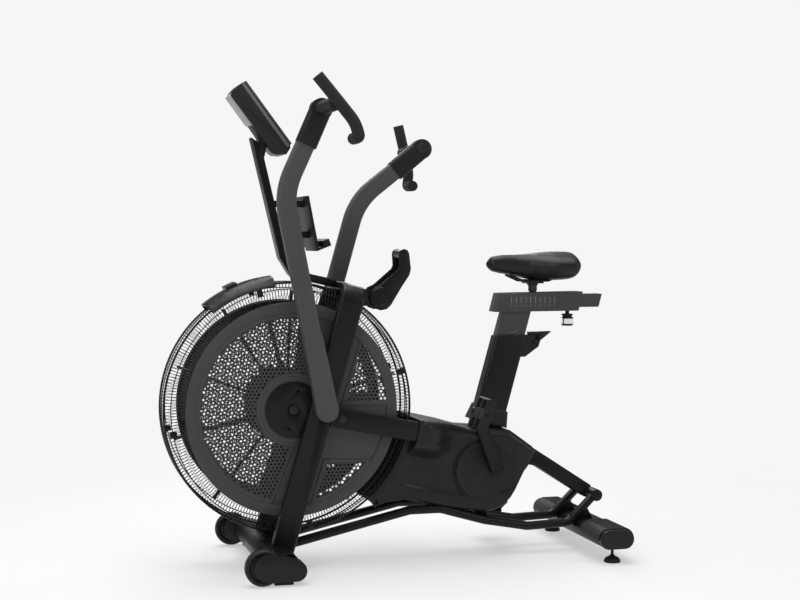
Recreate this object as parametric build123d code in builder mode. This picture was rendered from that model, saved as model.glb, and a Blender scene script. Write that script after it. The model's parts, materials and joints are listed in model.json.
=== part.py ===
"""Air bike: a fan-braked exercise bike with moving handlebars, as separate pieces.

+X runs from the fan to the seat's rear, +Y to the rider's right, +Z up. The origin is on the floor,
under the middle of the bike. Profiles seen from the side are drawn in (rear, up) coordinates
counted from the point on the floor below the fan's axle. Millimetres.
"""
from build123d import *
from math import atan2, cos, degrees, radians, sin, tan
import os

os.makedirs("parts", exist_ok=True)

# Driving dimensions
FAN_Z = 440.0           # fan axle, above the floor
CAGE_R = 343.5          # outer rings of the wire guard, 27 inch class
RING_Y = 50.0           # each outer ring, from the middle plane
RING_WIRE_R = 4.0
STAB_LONG, STAB_HIGH = 98.0, 52.0   # flat oval tube of both stabilizers
REAR_STAB, REAR_HALF = (882.0, 69.0), 260.0
FAN_X = -(REAR_STAB[0] + STAB_LONG / 2 - CAGE_R - RING_WIRE_R) / 2   # the bike's middle is at x = 0
PLATE_R = 290.0         # perforated side plates
PLATE_Y = 105.0         # outer face of each side plate
LEG_Y = 128.0           # middle of each fork leg and side beam
LEG_WIDE, LEG_THICK, WALL = 65.0, 24.0, 3.0
LEG_U = 74.0            # fork leg's middle, at the height of the fan axle
LEG_LEAN = 16.2         # degrees back from vertical
PIVOT = (82.0, 441.0)   # handlebar arm pivot, side view
ARM_Y = 160.0           # middle of each handlebar arm
ARM_WIDE, ARM_THICK = 52.0, 30.0
ARM_TURN = 27.0         # degrees between the two ends of an arm's swing
LEVER = 30.0            # arm axle to push rod
CRANK = (588.0, 258.0)  # crank axle, side view
CRANK_LEN = 172.0
CRANK_ANGLE = 112.2     # left crank, degrees up from the rear
CRANK_Y = 99.0          # middle of each crank arm
PEDAL_Y = 160.0         # middle of each pedal
JACK = (400.0, 300.0)   # jackshaft, side view
BEAM_DROP = 11.3        # side beams fall this many degrees to the rear
SEAT_LEAN = 15.5        # seat tube, degrees back from vertical
SEAT_FOOT = (597.5, 416.5)
CROSS_TUBE, CROSS_R = (899.0, 161.0), 17.0  # cross tube at the end of the rear beam
FRONT_STAB, FRONT_HALF = (-60.0, 50.0), 245.0
WHEEL = (-113.0, 50.0)  # transport wheels
WHEEL_R, WHEEL_Y = 48.0, 274.0
RAIL_R, RAIL_Y = 12.5, 65.0
RAIL_ROUTE = ((-14, 62), (40, 74), (340, 142), (430, 142), (560, 104), (690, 80), (818, 84), (893, 158))
RAIL_BEND = 40.0
GRIP_R = 16.0
GRIP_Y, GRIP_END_Y = 360.0, 290.0   # the grips stand out here, and curl in to there
SLEEVE_LEN = 104.0
MAST_TOP = (-87.0, 1183.0)
HANDLE_HUB = (262.0, 738.0)
CROSS_U = 352.0         # front face of the cross plate behind the side beams
CONSOLE_HINGE = (-62.0, 1176.0)
CONSOLE_LEAN = 126.0    # screen's long direction, degrees up from the rear
RUN = 0.05              # radial clearance of running fits


def side(y=0.0):
    """The side view as a plane at lateral position y."""
    return Plane(origin=(FAN_X, y, 0), x_dir=(1, 0, 0), z_dir=(0, -1, 0))


def spot(u, z, y=0.0):
    """A point of the side view, in the bike's frame."""
    return Vector(FAN_X + u, y, z)


def turned(point, centre, angle):
    """A side view point turned about a centre, degrees from rear towards up."""
    du, dz = point[0] - centre[0], point[1] - centre[1]
    c, s = cos(radians(angle)), sin(radians(angle))
    return (centre[0] + du * c - dz * s, centre[1] + du * s + dz * c)


def along(point, angle, length):
    """A side view point moved along a direction, degrees from rear towards up."""
    return (point[0] + length * cos(radians(angle)), point[1] + length * sin(radians(angle)))


def write(piece, label):
    """Label a finished piece and write it."""
    piece.part.label = label
    export_step(piece.part, f"parts/{label}.step")


def rod_between(start, end, radius):
    """A round bar between two points, added to the current part."""
    with BuildSketch(Plane(origin=start, z_dir=end - start)) as section:
        Circle(radius)
    extrude(section.sketch, amount=(end - start).length)


def outline(points):
    """A closed polygon in the current sketch."""
    Polygon(*points, align=None)


def capsule(start, end, r_start, r_end):
    """Two circles and the skin round them, in the current sketch."""
    with Locations(start):
        Circle(r_start)
    with Locations(end):
        Circle(r_end)
    make_hull()


def soften(part, radius, axis=Axis.Y):
    """Round the edges of a part that do not run along an axis."""
    edges = [e for e in part.edges() if abs(e.tangent_at(0.5).dot(axis.direction)) < 0.9]
    fillet(edges, radius)


# ---------------------------------------------------------------- fork and side beams
def fork_frame():
    lean = radians(LEG_LEAN)
    up = Vector(sin(lean), 0, cos(lean))
    leg_plane = Plane(origin=spot(LEG_U, FAN_Z), x_dir=(0, 1, 0), z_dir=(cos(lean), 0, -sin(lean)))
    foot, top = -395.0, 340.0
    with BuildPart() as fork:
        with BuildLine(leg_plane) as path:
            FilletPolyline((-LEG_Y, foot), (-LEG_Y, top), (LEG_Y, top), (LEG_Y, foot), radius=42)
        start = spot(LEG_U, FAN_Z) + up * foot + Vector(0, -LEG_Y, 0)
        with BuildSketch(Plane(origin=start, x_dir=(cos(lean), 0, -sin(lean)), z_dir=up)):
            RectangleRounded(LEG_WIDE, LEG_THICK, 7)
            RectangleRounded(LEG_WIDE - 2 * WALL, LEG_THICK - 2 * WALL, 4, mode=Mode.SUBTRACT)
        sweep(path=path.line)
        # the legs stand on the stabilizer's tube
        with BuildSketch(side(0)):
            with Locations(FRONT_STAB):
                SlotOverall(STAB_LONG, STAB_HIGH)
            with Locations((FRONT_STAB[0], 20)):
                Rectangle(200, 60)
        extrude(amount=200, both=True, mode=Mode.SUBTRACT)
        # bores for the arm axles, and slots where the push rods leave the legs
        with BuildSketch(side(0)):
            with Locations(PIVOT):
                Circle(12 + RUN)
        extrude(amount=200, both=True, mode=Mode.SUBTRACT)
        for s in (-1, 1):
            with BuildSketch(side(s * LEG_Y)):
                with Locations((100, 401)):
                    Rectangle(40, 26)
            extrude(amount=7, both=True, mode=Mode.SUBTRACT)
        # welded clevis of the top handle, with its pin
        with BuildSketch(side(0)):
            with Locations(HANDLE_HUB):
                Circle(22)
            outline([(196, 742), (200, 768), (252, 757), (268, 718), (212, 716)])
        extrude(amount=36, both=True)
        with BuildSketch(side(0)):
            outline([(206, 690), (212, 800), (300, 800), (300, 690)])
        extrude(amount=28, both=True, mode=Mode.SUBTRACT)
        round_piece(HANDLE_HUB, 9, 0, 0, 47)
    write(fork, "fork_frame")


ROD_START = along(PIVOT, -90 - BEAM_DROP, LEVER)
ROD_LEN = 258.0


def beam_line(u, offset):
    """Height of the side beams' middle line, moved up by an offset."""
    return 398.0 - (u - 210.0) * tan(radians(BEAM_DROP)) + offset


def side_beams():
    deep, thick = 27.0, 11.0
    front_top, front_low, rear = 109.5, 94.9, CROSS_U
    with BuildPart() as beams:
        for s in (-1, 1):
            with BuildSketch(side(s * LEG_Y)):
                outline([(front_top, beam_line(front_top, deep)), (rear, beam_line(rear, deep)),
                         (rear, beam_line(rear, -deep)), (front_low, beam_line(front_low, -deep))])
            extrude(amount=thick, both=True)
            with BuildSketch(side(s * LEG_Y)):
                inner = deep - WALL
                outline([(front_low - 40, beam_line(front_low - 40, inner)),
                         (rear + 10, beam_line(rear + 10, inner)),
                         (rear + 10, beam_line(rear + 10, -inner)),
                         (front_low - 40, beam_line(front_low - 40, -inner))])
            extrude(amount=thick - WALL, both=True, mode=Mode.SUBTRACT)
    write(beams, "side_beams")


# ---------------------------------------------------------------- main frame, seat tube, base
BEARING_Y, BEARING_T = 29.0, 6.0    # the two bearing plates touch the seat tube and the rear beam


def bearing_frame():
    """Cross plate behind the side beams, and two plates that carry jackshaft, crank and seat tube."""
    with BuildPart() as frame:
        with BuildSketch(side(0)):
            outline([(CROSS_U, 346), (CROSS_U, 386), (CROSS_U + 6, 386), (CROSS_U + 6, 346)])
        extrude(amount=LEG_Y + 8, both=True)
        # notch over the fan belt
        with Locations(spot(CROSS_U + 3, 352, 68)):
            Box(8, 20, 54, mode=Mode.SUBTRACT)
        for s in (-1, 1):
            with BuildSketch(side(s * BEARING_Y)):
                outline([(CROSS_U + 6, 346), (CROSS_U + 6, 386), (452, 370), (560, 352), (640, 336),
                         (664, 262), (625, 196), (578, 160), (578, 111), (540, 111), (540, 160),
                         (448, 190), (448, 141), (410, 141), (410, 200), (366, 250)])
                for centre, bore in ((JACK, 8), (CRANK, 10)):
                    with Locations(centre):
                        Circle(bore + RUN, mode=Mode.SUBTRACT)
            extrude(amount=BEARING_T / 2, both=True)
        # spacers between the plates
        for centre in ((470.0, 220.0), (470.0, 345.0), (640.0, 240.0)):
            round_piece(centre, 9, 0, 0, BEARING_Y)
    write(frame, "bearing_frame")


def seat_plane(length):
    """A plane across the seat tube's line, this far up from its foot."""
    lean = radians(SEAT_LEAN)
    up = Vector(sin(lean), 0, cos(lean))
    return Plane(origin=spot(*SEAT_FOOT) + up * length, x_dir=(cos(lean), 0, -sin(lean)), z_dir=up)


TUBE_WIDE, TUBE_THICK = 90.0, 52.0
POST_WIDE, POST_THICK = 80.0, 42.0
TUBE_TOP, TUBE_DOWN = 216.0, 105.0  # seat tube above and below its foot, where the fairing starts


def seat_tube():
    with BuildPart() as tube:
        with BuildSketch(seat_plane(-TUBE_DOWN)):
            RectangleRounded(TUBE_WIDE, TUBE_THICK, 8)
            Rectangle(POST_WIDE + 0.6, POST_THICK + 0.6, mode=Mode.SUBTRACT)
        extrude(amount=TUBE_TOP + TUBE_DOWN)
        # gusset and clevis for the height lever, behind the tube's top
        with BuildSketch(side(0)):
            outline([(682, 563), (700, 563), (741, 592), (748, 612), (735, 620), (699, 618)])
        extrude(amount=17, both=True)
        with BuildSketch(side(0)):
            outline([(704, 556), (760, 590), (760, 640), (708, 640)])
        extrude(amount=11, both=True, mode=Mode.SUBTRACT)
        with BuildSketch(side(0)):
            with Locations((732, 606)):
                Circle(5 + RUN)
        extrude(amount=20, both=True, mode=Mode.SUBTRACT)
    write(tube, "seat_tube")


def base_rails():
    """Two bent tubes from the front stabilizer to the rear cross tube."""
    with BuildPart() as rails:
        for s in (-1, 1):
            with BuildLine(side(s * RAIL_Y)) as path:
                FilletPolyline(*RAIL_ROUTE, radius=RAIL_BEND)
            with BuildSketch(Plane(origin=path.line @ 0, z_dir=path.line % 0)):
                Circle(RAIL_R)
                Circle(RAIL_R - 2, mode=Mode.SUBTRACT)
            sweep(path=path.line)
            # bracket that bolts the rail to the rear stabilizer
            with BuildSketch(side(s * RAIL_Y)):
                outline([(826, 80), (850, 114), (872, 126), (888, 96), (870, 88), (838, 66)])
            extrude(amount=7, both=True)
        with BuildSketch(side(0)):
            with Locations(FRONT_STAB, REAR_STAB):
                SlotOverall(STAB_LONG, STAB_HIGH)
        extrude(amount=100, both=True, mode=Mode.SUBTRACT)
        # cross bars under the bearing plates
        for u, z in ((429.0, 136.0), (559.0, 106.0)):
            with Locations(spot(u, z)):
                Box(38, 2 * RAIL_Y - 2 * RAIL_R + 3, 10)
    write(rails, "base_rails")
    return rails


def rear_beam(rails):
    """Box tube from the frame's rear down to the cross tube that the rails end in."""
    with BuildPart() as beam:
        with BuildSketch(side(0)):
            outline([(636, 300), (700, 313), (902, 182), (884, 148), (727, 247), (636, 262)])
        extrude(amount=BEARING_Y - BEARING_T / 2, both=True)
        with BuildSketch(side(0)):
            outline([(630, 296), (699, 309), (886, 188), (870, 160), (729, 250), (630, 266)])
        extrude(amount=BEARING_Y - BEARING_T / 2 - WALL, both=True, mode=Mode.SUBTRACT)
        with BuildSketch(side(0)):
            with Locations(CROSS_TUBE):
                Circle(CROSS_R)
        extrude(amount=RAIL_Y + 15, both=True)
        add(rails.part, mode=Mode.SUBTRACT)
    write(beam, "rear_beam")


def stabilizer_tube(centre, half, label):
    with BuildPart() as tube:
        with BuildSketch(side(0)):
            with Locations(centre):
                SlotOverall(STAB_LONG, STAB_HIGH)
                SlotOverall(STAB_LONG - 6, STAB_HIGH - 6, mode=Mode.SUBTRACT)
        extrude(amount=half, both=True)
    write(tube, label)


def front_covers():
    """Moulded ends of the front stabilizer, each with a wheel well."""
    with BuildPart() as covers:
        for s in (-1, 1):
            with BuildSketch(side(s * 268.5)):
                capsule((WHEEL[0] + 12, 50), (-26, 39), 37, 27)
            extrude(amount=23.5, both=True)
            with BuildSketch(side(s * WHEEL_Y)):
                with Locations(WHEEL):
                    Circle(WHEEL_R + 4)
                with Locations((WHEEL[0] - 30, 30)):
                    Rectangle(90, 90)
            extrude(amount=13, both=True, mode=Mode.SUBTRACT)
            # foot pad, clear of the wheel
            with Locations(spot(-56, 13, s * 258)):
                Box(50, 26, 26)
            with BuildSketch(side(s * WHEEL_Y)):
                with Locations(WHEEL):
                    Circle(WHEEL_R + 4)
            extrude(amount=13, both=True, mode=Mode.SUBTRACT)
            # wheel axle and the walls round it
            round_piece(WHEEL, 6, 0, s * 268.5, 23.5)
            for y in (s * 253.0, s * 289.6):
                with BuildSketch(side(y)):
                    with Locations(WHEEL):
                        Circle(20)
                    with Locations((WHEEL[0] + 14, 50)):
                        Rectangle(28, 40)
                extrude(amount=2.4, both=True)
        # the tube's end sits in the cover
        with BuildSketch(side(0)):
            with Locations(FRONT_STAB):
                SlotOverall(STAB_LONG, STAB_HIGH)
        extrude(amount=FRONT_HALF, both=True, mode=Mode.SUBTRACT)
    write(covers, "front_stabilizer_covers")


def transport_wheel(s, label):
    with BuildPart() as wheel:
        with BuildSketch(side(s * WHEEL_Y)):
            with Locations(WHEEL):
                Circle(WHEEL_R)
                Circle(6 + RUN, mode=Mode.SUBTRACT)
        extrude(amount=11.5, both=True)
        chamfer(wheel.edges().filter_by(GeomType.CIRCLE).group_by(SortBy.RADIUS)[-1], 3)
    write(wheel, label)


def rear_caps():
    with BuildPart() as caps:
        for s in (-1, 1):
            with BuildSketch(side(s * 266)):
                with Locations(REAR_STAB):
                    SlotOverall(STAB_LONG + 2, STAB_HIGH + 2)
            extrude(amount=6, both=True)
        fillet(caps.edges().filter_by(lambda e: abs(e.center().Y) > 271), 4)
    write(caps, "rear_stabilizer_caps")


def step_pads():
    """Ribbed rubber pads over the top of the rear stabilizer."""
    thick = 5.0
    with BuildPart() as pads:
        for s in (-1, 1):
            with BuildSketch(side(s * 190)):
                with Locations(REAR_STAB):
                    SlotOverall(STAB_LONG + 2 * thick, STAB_HIGH + 2 * thick)
                    SlotOverall(STAB_LONG, STAB_HIGH, mode=Mode.SUBTRACT)
                with Locations((REAR_STAB[0], REAR_STAB[1] - 40)):
                    Rectangle(STAB_LONG + 40, 76, mode=Mode.SUBTRACT)
            extrude(amount=68, both=True)
            for k in range(13):
                y = s * 190 + (k - 6) * 10
                with BuildSketch(side(y)):
                    with Locations((REAR_STAB[0], REAR_STAB[1] + STAB_HIGH / 2 + thick)):
                        Rectangle(52, 4)
                extrude(amount=2, both=True)
    write(pads, "step_pads")


def levelling_foot(s, label):
    centre = (FAN_X + REAR_STAB[0], s * 232)
    floor_to_tube = REAR_STAB[1] - STAB_HIGH / 2
    with BuildPart() as foot:
        with BuildSketch(Plane.XY):
            with Locations(centre):
                Circle(28)
        extrude(amount=floor_to_tube - 14, taper=22)
        with BuildSketch(Plane.XY):
            with Locations(centre):
                Circle(5.5)
        extrude(amount=floor_to_tube - 0.4)
    write(foot, label)


# ---------------------------------------------------------------- fan, guards, hub
def hub_brackets():
    """Round plates on the legs' inner faces that carry the fan's axle."""
    with BuildPart() as brackets:
        for s in (-1, 1):
            with BuildSketch(side(s * 111.5)):
                with Locations((0, FAN_Z)):
                    Circle(77)
            extrude(amount=4.5, both=True)
            with BuildSketch(side(s * 106)):
                with Locations((0, FAN_Z)):
                    Circle(60)
            extrude(amount=1, both=True)
            with BuildSketch(side(s * 114)):
                with Locations((0, FAN_Z)):
                    Circle(19)
            extrude(amount=2.5, both=True, mode=Mode.SUBTRACT)
            with BuildSketch(side(s * 110)):
                with Locations((0, FAN_Z)):
                    Circle(5.25)
                with Locations((14, FAN_Z + 52), (-14, FAN_Z - 50)):
                    Circle(3.5)
            extrude(amount=12, both=True, mode=Mode.SUBTRACT)
    write(brackets, "hub_brackets")


def fan_axle():
    with BuildPart() as axle:
        with BuildSketch(side(0)):
            with Locations((0, FAN_Z)):
                Circle(10)
                Circle(5.25, mode=Mode.SUBTRACT)
        extrude(amount=105, both=True)
    write(axle, "fan_axle")


def guard_plate(s, label):
    """Side plate: dished disc with a rolled rim and a raised ring round the hub."""
    with BuildPart() as plate:
        with BuildSketch(side(s * (PLATE_Y - 1))):
            with Locations((0, FAN_Z)):
                Circle(PLATE_R)
                Circle(40, mode=Mode.SUBTRACT)
        extrude(amount=1, both=True)
        with BuildSketch(side(s * (PLATE_Y - 3))):
            with Locations((0, FAN_Z)):
                Circle(PLATE_R)
                Circle(PLATE_R - 5, mode=Mode.SUBTRACT)
        extrude(amount=4, both=True)
        with BuildSketch(side(s * (PLATE_Y + 1))):
            with Locations((0, FAN_Z)):
                Circle(108)
                Circle(88, mode=Mode.SUBTRACT)
        extrude(amount=1.5, both=True)
        fillet(plate.edges().filter_by(lambda e: abs(e.center().Y) > PLATE_Y + 2), 1.2)
    write(plate, label)


def wire_guard(s, label):
    """Half of the wire cage: an outer ring, bars in to the plate's rim and bars over the edge."""
    axle = Axis((FAN_X, 0, FAN_Z), (0, 1, 0))
    bars = 36
    half = Plane(origin=(FAN_X, 0, FAN_Z), x_dir=(1, 0, 0), z_dir=(0, 0, 1))
    with BuildPart() as guard:
        with BuildSketch(half):
            outline([(PLATE_R + 0.2, s * 100), (PLATE_R + 0.2, s * 96), (PLATE_R + 38, s * 74),
                     (CAGE_R - 1.5, s * RING_Y), (CAGE_R - 1.5, s * 0.2), (CAGE_R + 1.5, s * 0.2),
                     (CAGE_R + 1.5, s * RING_Y), (PLATE_R + 40, s * 77)])
        revolve(axis=axle)
        with Locations(Plane(origin=(FAN_X, 0, FAN_Z), z_dir=(0, -1, 0), x_dir=(1, 0, 0))):
            with PolarLocations(CAGE_R - 20, bars, start_angle=5):
                Box(56, 19, 300, mode=Mode.SUBTRACT)
        for radius, y, wire in ((CAGE_R, s * RING_Y, RING_WIRE_R), (CAGE_R, s * 3.2, 3.0),
                                (PLATE_R + 3.5, s * 98, 3.0)):
            with BuildSketch(half):
                with Locations((radius, y)):
                    Circle(wire)
            revolve(axis=axle)
        if s > 0:
            # the belt to the fan passes here
            with Locations(Plane(origin=(FAN_X, 68, FAN_Z), z_dir=(0, -1, 0), x_dir=(1, 0, 0))):
                with Locations(Rotation(0, 0, -19.3)):
                    with Locations((CAGE_R - 10, 0)):
                        Box(90, 124, 26, mode=Mode.SUBTRACT)
    write(guard, label)


def rim_shield():
    """Curved cover over the guard's upper front edge, with a ridge and a latch block."""
    first, last = 97.0, 129.0
    axle = Axis((FAN_X, 0, FAN_Z), (0, 1, 0))
    start = Plane(origin=(FAN_X, 0, FAN_Z), x_dir=(cos(radians(first)), 0, sin(radians(first))),
                  z_dir=(-sin(radians(first)), 0, cos(radians(first))))
    across = 1 if start.y_dir.Y > 0 else -1
    with BuildPart() as shield:
        with BuildSketch(start):
            outline([(335, 73 * across), (352, 58 * across), (359, 44 * across), (359, -44 * across),
                     (352, -58 * across), (335, -73 * across), (337, -76.5 * across),
                     (355, -61 * across), (363, -45 * across), (363, 45 * across),
                     (355, 61 * across), (337, 76.5 * across)])
        revolve(axis=axle, revolution_arc=-(last - first))
        with BuildSketch(start):
            with Locations((363.5, -20 * across)):
                Rectangle(5, 12)
        revolve(axis=axle, revolution_arc=-(last - first))
        with BuildSketch(side(0)):
            with Locations(along((0, FAN_Z), 115, 367)):
                Rectangle(34, 13, rotation=25)
        extrude(amount=34, both=True)
    write(shield, "rim_shield")


def fan_wheel():
    blades, inner_r, tip_r = 10, 60.0, 322.0
    with BuildPart() as wheel:
        with BuildSketch(side(0)):
            with Locations((0, FAN_Z)):
                Circle(30)
                Circle(21, mode=Mode.SUBTRACT)
        extrude(amount=60.4, both=True)
        with BuildSketch(side(0)):
            with Locations((0, FAN_Z)):
                Circle(85)
                Circle(30, mode=Mode.SUBTRACT)
        extrude(amount=3, both=True)
        with Locations(Plane(origin=(FAN_X, 0, FAN_Z), z_dir=(0, -1, 0), x_dir=(1, 0, 0))):
            with PolarLocations((inner_r + tip_r) / 2, blades, start_angle=15):
                Box(tip_r - inner_r, 8, 6)
            with PolarLocations((tip_r + 200) / 2, blades, start_angle=15):
                Box(tip_r - 200, 2.5, 40)
    write(wheel, "fan_wheel")


def round_piece(centre, outer, inner, y, half):
    """A ring or disc about a lateral axis, added to the current part."""
    with BuildSketch(side(y)) as ring:
        with Locations(centre):
            Circle(outer)
            if inner:
                Circle(inner, mode=Mode.SUBTRACT)
    extrude(ring.sketch, amount=half, both=True)


def fan_drive():
    fan = (0, FAN_Z)
    with BuildPart() as pulley:
        round_piece(fan, 25, 10.6, 68, 6)
        for y in (61.2, 74.8):
            round_piece(fan, 30, 10.6, y, 0.8)
    write(pulley, "fan_pulley")
    with BuildPart() as bearings:
        for y in (-48, 48):
            round_piece(fan, 21, 10 + RUN, y, 7)
    write(bearings, "fan_bearings")
    with BuildPart() as jack:
        round_piece(JACK, 8, 0, 20, 54)
        round_piece(JACK, 25, 0, 49, 7)
        round_piece(JACK, 60, 0, 68, 6)
        for y, r in ((41.2, 30), (56.8, 30), (61.2, 64), (74.8, 64)):
            round_piece(JACK, r, 0, y, 0.8)
    write(jack, "jackshaft")


BELT_GAP, BELT_THICK = 0.4, 3.5     # the belts stand a hair clear of the pulleys


def drive_belts():
    with BuildPart() as belts:
        with BuildSketch(side(49)):
            capsule(CRANK, JACK, 80 + BELT_GAP + BELT_THICK, 25 + BELT_GAP + BELT_THICK)
        extrude(amount=5.5, both=True)
        with BuildSketch(side(49)):
            capsule(CRANK, JACK, 80 + BELT_GAP, 25 + BELT_GAP)
        extrude(amount=5.5, both=True, mode=Mode.SUBTRACT)
        with BuildSketch(side(68)):
            capsule(JACK, (0, FAN_Z), 60 + BELT_GAP + BELT_THICK, 25 + BELT_GAP + BELT_THICK)
        extrude(amount=5, both=True)
        with BuildSketch(side(68)):
            capsule(JACK, (0, FAN_Z), 60 + BELT_GAP, 25 + BELT_GAP)
        extrude(amount=5, both=True, mode=Mode.SUBTRACT)
    write(belts, "drive_belts")


# ---------------------------------------------------------------- crank, pedals
def crank_drive():
    with BuildPart() as axle:
        round_piece(CRANK, 10, 0, 0, CRANK_Y + 7.5)
    write(axle, "crank_axle")
    with BuildPart() as pulley:
        round_piece(CRANK, 80, 10, 49, 7)
        for y in (41.2, 56.8):
            round_piece(CRANK, 84, 10, y, 0.8)
        with Locations(Plane(origin=spot(*CRANK, 49), z_dir=(0, -1, 0), x_dir=(1, 0, 0))):
            with PolarLocations(48, 5):
                Cylinder(15, 40, mode=Mode.SUBTRACT)
    write(pulley, "crank_pulley")


def crank_arm(s, label):
    angle = CRANK_ANGLE if s < 0 else CRANK_ANGLE + 180
    tip = along(CRANK, angle, CRANK_LEN)
    with BuildPart() as arm:
        with BuildSketch(side(s * CRANK_Y)):
            capsule(CRANK, tip, 21, 15)
        extrude(amount=6.5, both=True)
        soften(arm, 3)
        with BuildSketch(side(s * CRANK_Y)):
            with Locations(CRANK):
                Circle(10)
        extrude(amount=20, both=True, mode=Mode.SUBTRACT)
        with BuildSketch(side(s * CRANK_Y)):
            with Locations(tip):
                Circle(7)
        extrude(amount=s * -106, mode=Mode.ADD)
    write(arm, label)


def pedal(s, tilt, label):
    """Platform pedal: two side plates joined by a sleeve and end bars."""
    angle = CRANK_ANGLE if s < 0 else CRANK_ANGLE + 180
    centre = along(CRANK, angle, CRANK_LEN)
    here = Plane(origin=spot(*centre, s * PEDAL_Y), z_dir=(0, -1, 0),
                 x_dir=(cos(radians(tilt)), 0, sin(radians(tilt))))
    with BuildPart() as body:
        with BuildSketch(here):
            RectangleRounded(94, 27, 8)
        extrude(amount=45, both=True)
        with Locations(here):
            for x in (-28.0, 28.0):
                with Locations((x, 0, -21), (x, 0, 21)):
                    Box(26, 60, 32, mode=Mode.SUBTRACT)
        with BuildSketch(here):
            Circle(7 + RUN)
        extrude(amount=60, both=True, mode=Mode.SUBTRACT)
    write(body, label)


# ---------------------------------------------------------------- handlebar arms
def arm_points(s):
    """Pivot, bend, top and grip points of an arm at rest; the right arm lies swung to the rear."""
    swing = 0.0 if s < 0 else -ARM_TURN
    raw = {"bend": (-35.0, 1024.0), "top": (67.0, 1249.0), "grip_top": (13.0, 1320.0),
           "grip_low": (110.0, 1205.0), "grip_end": (125.0, 1163.0), "blade": (43.0, 640.0),
           "sleeve": (24.0, 1150.0)}
    return {name: turned(point, PIVOT, swing) for name, point in raw.items()}


def handlebar_arm(s, label):
    at = arm_points(s)
    with BuildPart() as arm:
        with BuildLine(side(s * ARM_Y)) as path:
            FilletPolyline(PIVOT, at["bend"], at["top"], radius=190)
        with BuildSketch(Plane(origin=path.line @ 0, x_dir=(0, 1, 0), z_dir=path.line % 0)):
            RectangleRounded(ARM_THICK, ARM_WIDE, 9)
        sweep(path=path.line)
        with BuildSketch(side(s * ARM_Y)):
            capsule(PIVOT, at["blade"], 30, 25)
        extrude(amount=ARM_THICK / 2, both=True)
    write(arm, label)
    return arm


def arm_axle(s, label):
    """Axle welded to the arm, with the lever that works the push rod inside the leg."""
    mid = -90.0 - BEAM_DROP
    angle = mid + ARM_TURN / 2 if s < 0 else mid - ARM_TURN / 2
    pin = along(PIVOT, angle, LEVER)
    with BuildPart() as axle:
        inner = LEG_Y - LEG_THICK / 2 + 0.5
        with BuildSketch(side(s * inner)):
            with Locations(PIVOT):
                Circle(12)
        extrude(amount=-s * (ARM_Y - ARM_THICK / 2 - inner))
        with BuildSketch(side(s * (LEG_Y + 3))):
            capsule(PIVOT, pin, 16, 9)
        extrude(amount=3, both=True)
        with BuildSketch(side(s * (LEG_Y + 6))):
            with Locations(pin):
                Circle(4)
        extrude(amount=s * 13.5)
    write(axle, label)


def push_rod(s, label):
    on_line = along(ROD_START, -BEAM_DROP, -s * LEVER * sin(radians(ARM_TURN / 2)))
    rear = along(on_line, -BEAM_DROP, ROD_LEN)
    y = s * (LEG_Y - 3.5)
    with BuildPart() as rod:
        with BuildSketch(side(y)):
            for eye, radius in ((on_line, 9), (rear, 7)):
                with Locations(eye):
                    Circle(radius)
        extrude(amount=3, both=True)
        rod_between(spot(*on_line, y), spot(*rear, y), 3.5)
        with BuildSketch(side(y)):
            with Locations(on_line):
                Circle(5.6)
            with Locations(rear):
                Circle(3.5)
        extrude(amount=10, both=True, mode=Mode.SUBTRACT)
    write(rod, label)


def handle(s, arm, grip, label):
    """Clamp sleeve on the arm's top with the cross tube that carries the grip."""
    at = arm_points(s)
    lean = atan2(at["top"][1] - at["sleeve"][1], at["top"][0] - at["sleeve"][0])
    upward = Vector(cos(lean), 0, sin(lean))
    with BuildPart() as clamp:
        with BuildSketch(Plane(origin=spot(*at["top"], s * ARM_Y) - upward * SLEEVE_LEN,
                               x_dir=(0, 1, 0), z_dir=upward)):
            RectangleRounded(ARM_THICK + 6, ARM_WIDE + 6, 10)
        extrude(amount=SLEEVE_LEN)
        round_piece(at["top"], 29, 0, s * ARM_Y, ARM_THICK / 2 + 3)
        rod_between(spot(*at["top"], s * (ARM_Y - 18)), spot(*at["top"], s * GRIP_Y), 19)
        add(arm.part, mode=Mode.SUBTRACT)
        add(grip.part, mode=Mode.SUBTRACT)
        # the tube ends where it meets the grip
        with BuildSketch(side(s * (GRIP_Y + 40))):
            with Locations(at["top"]):
                Circle(60)
        extrude(amount=s * 44, mode=Mode.SUBTRACT)
    write(clamp, label)


def arm_set(s, word):
    """One handlebar arm with its axle, push rod, grip and clamp sleeve."""
    at = arm_points(s)
    arm = handlebar_arm(s, f"arm_{word}")
    arm_axle(s, f"arm_axle_{word}")
    push_rod(s, f"push_rod_{word}")
    with BuildPart() as grip:
        with BuildLine() as path:
            FilletPolyline(spot(*at["grip_top"], s * GRIP_Y), spot(*at["grip_low"], s * GRIP_Y),
                           spot(*at["grip_end"], s * GRIP_Y), spot(*at["grip_end"], s * GRIP_END_Y),
                           radius=30)
        with BuildSketch(Plane(origin=path.line @ 0, z_dir=path.line % 0)):
            Circle(GRIP_R)
        sweep(path=path.line)
        fillet(grip.edges().filter_by(GeomType.CIRCLE).sort_by(Axis.Z)[-1], 6)
    write(grip, f"grip_{word}")
    handle(s, arm, grip, f"handle_{word}")


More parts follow.
